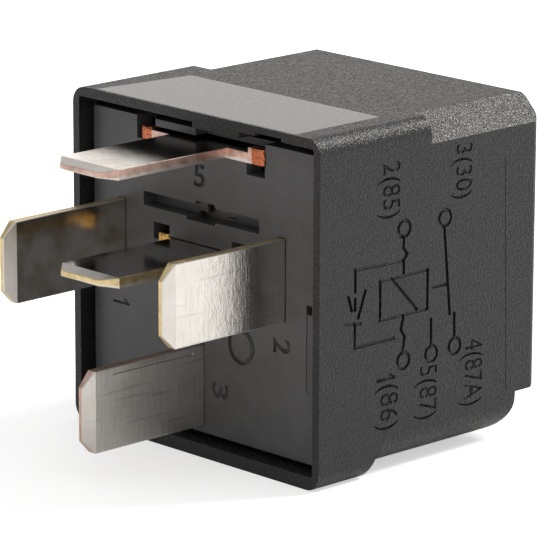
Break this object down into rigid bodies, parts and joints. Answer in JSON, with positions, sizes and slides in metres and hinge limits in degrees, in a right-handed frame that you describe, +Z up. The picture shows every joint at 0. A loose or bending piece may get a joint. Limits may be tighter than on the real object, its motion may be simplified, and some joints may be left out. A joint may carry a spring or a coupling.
{
  "type": "automotive relay",
  "caption": "Plug-in changeover relay: closed plastic case with a circuit on its side and flat blade terminals standing out of the open end.",
  "frame": {"origin": "under the middle of the whole relay's box, on the surface that it lies on", "axes": "+Z up with the relay lying on one side, +X to the side that carries the circuit, -Y the way the blades point"},
  "size_m": [0.027, 0.0342, 0.0265],
  "materials": {
    "cover_plastic": "fine spark-eroded black polyamide",
    "base_plastic": "smooth black moulded plate",
    "tinned_brass": "bright tin plating, bare brass at the cut edges",
    "tinned_copper": "bright tin plating, bare copper at the cut edges",
    "magnet_steel": "zinc-plated soft iron",
    "bobbin_plastic": "moulded bobbin",
    "enamelled_wire": "enamelled copper wire",
    "tape": "polyester tape",
    "spring_copper": "rolled copper alloy",
    "rivet_brass": "formed brass",
    "contact_silver": "silver alloy",
    "spring_steel": "drawn spring wire",
    "braid_copper": "fine braided copper",
    "diode_body": "moulded epoxy",
    "lead_wire": "tinned wire"
  },
  "bodies": {
    "root": {"cover": "cover_plastic", "base": "base_plastic", "terminal_30": "tinned_brass", "terminal_85": "tinned_brass", "terminal_86": "tinned_brass", "terminal_87": "tinned_copper", "terminal_87a": "tinned_brass", "yoke": "magnet_steel", "bobbin": "bobbin_plastic", "coil_winding": "enamelled_wire", "coil_tape": "tape", "core": "magnet_steel", "no_contact": "contact_silver", "nc_contact": "contact_silver", "return_spring": "spring_steel", "braid": "braid_copper", "diode": "diode_body", "diode_lead_85": "lead_wire", "diode_lead_86": "lead_wire", "coil_lead_85": "enamelled_wire", "coil_lead_86": "enamelled_wire"},
    "armature": {"armature": "magnet_steel", "contact_blade": "spring_copper", "blade_rivets": "rivet_brass", "moving_contact": "contact_silver"}
  },
  "joints": [
    {"name": "armature_swing", "type": "hinge", "parent": "root", "child": "armature", "pos_m": [-0.00045, 0.01139, 0.00362], "axis": [1, 0, 0], "range_deg": [0, 2.43], "stiffness_Nm_per_rad": 0.005, "springref_deg": -17.19}
  ]
}
